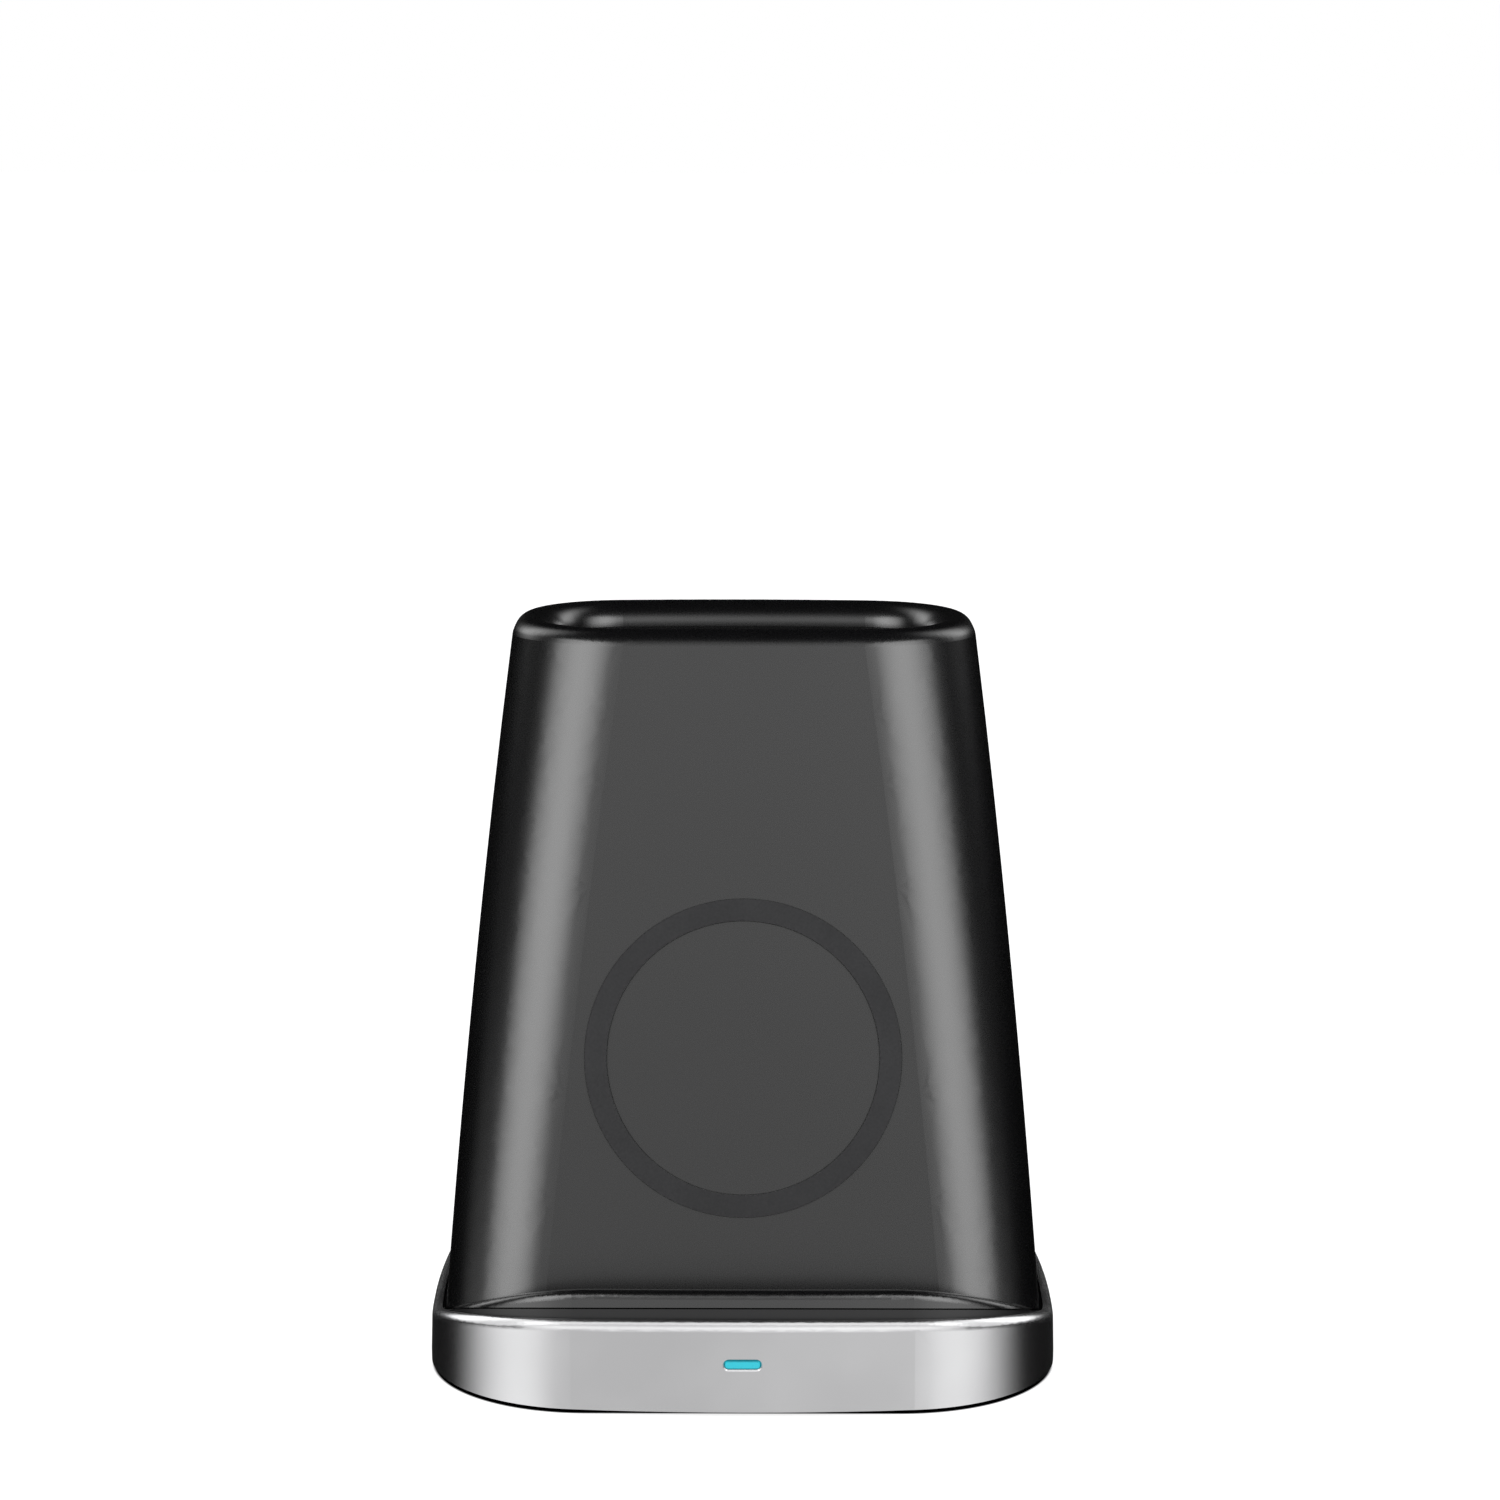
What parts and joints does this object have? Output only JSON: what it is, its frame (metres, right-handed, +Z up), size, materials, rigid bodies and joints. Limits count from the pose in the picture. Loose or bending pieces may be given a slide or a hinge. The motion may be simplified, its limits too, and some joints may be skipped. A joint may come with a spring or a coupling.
{
  "type": "wireless charger pen holder",
  "caption": "Desk pen cup with a slanted wireless charging rest for a phone, a ledge with a lip, and a silver wedge base with a status light.",
  "frame": {"origin": "centre of the plane that the feet stand on, under the middle of the base outline", "axes": "+Z up, +Y towards the rear with the supply socket, -Y towards the phone, +X to the right seen from the front"},
  "size_m": [0.09, 0.09, 0.102],
  "materials": {
    "housing_plastic": "moulded, satin black",
    "liner_plastic": "moulded, matte black",
    "mat_foam": "foam, matte black",
    "silver_ring": "bead-blasted and anodised, satin silver",
    "frame_plastic": "moulded, satin black",
    "cover_plastic": "moulded, fine texture, black",
    "feet_rubber": "matte",
    "screw_steel": "zinc plated",
    "ballast_steel": "cold rolled",
    "board_laminate": "green solder mask",
    "chip_epoxy": "moulded epoxy",
    "inductor_ferrite": "pressed powder",
    "capacitor_ceramic": "sintered, with tinned ends",
    "socket_steel": "nickel plated",
    "tongue_plastic": "moulded",
    "lamp_epoxy": "clear epoxy over white",
    "light_acrylic": "lit from behind",
    "coil_copper": "enamelled copper wire",
    "coil_ferrite": "sintered",
    "bracket_plastic": "moulded, natural",
    "lead_insulation": "soft sleeve",
    "thermistor_epoxy": "dipped",
    "silicone": "matte black"
  },
  "bodies": {
    "root": {"housing": "housing_plastic", "pen_cup": "liner_plastic", "cup_mat": "mat_foam", "base_ring": "silver_ring", "base_frame": "frame_plastic", "bottom_cover": "cover_plastic", "foot_front_left": "feet_rubber", "foot_front_right": "feet_rubber", "foot_rear_left": "feet_rubber", "foot_rear_right": "feet_rubber", "case_screws": "screw_steel", "ballast_plate": "ballast_steel", "main_board": "board_laminate", "board_screws": "screw_steel", "control_chip": "chip_epoxy", "driver_chips": "chip_epoxy", "power_inductor": "inductor_ferrite", "resonant_capacitors": "capacitor_ceramic", "socket_shell": "socket_steel", "socket_tongue": "tongue_plastic", "status_lamp": "lamp_epoxy", "light_pipe": "light_acrylic", "coil_upper": "coil_copper", "coil_lower": "coil_copper", "ferrite_sheet": "coil_ferrite", "thermistor": "thermistor_epoxy", "coil_bracket": "bracket_plastic", "bracket_screws": "screw_steel", "coil_lower_leads": "lead_insulation", "coil_upper_leads": "lead_insulation", "ledge_pad": "silicone", "rest_pad": "silicone"}
  },
  "joints": []
}
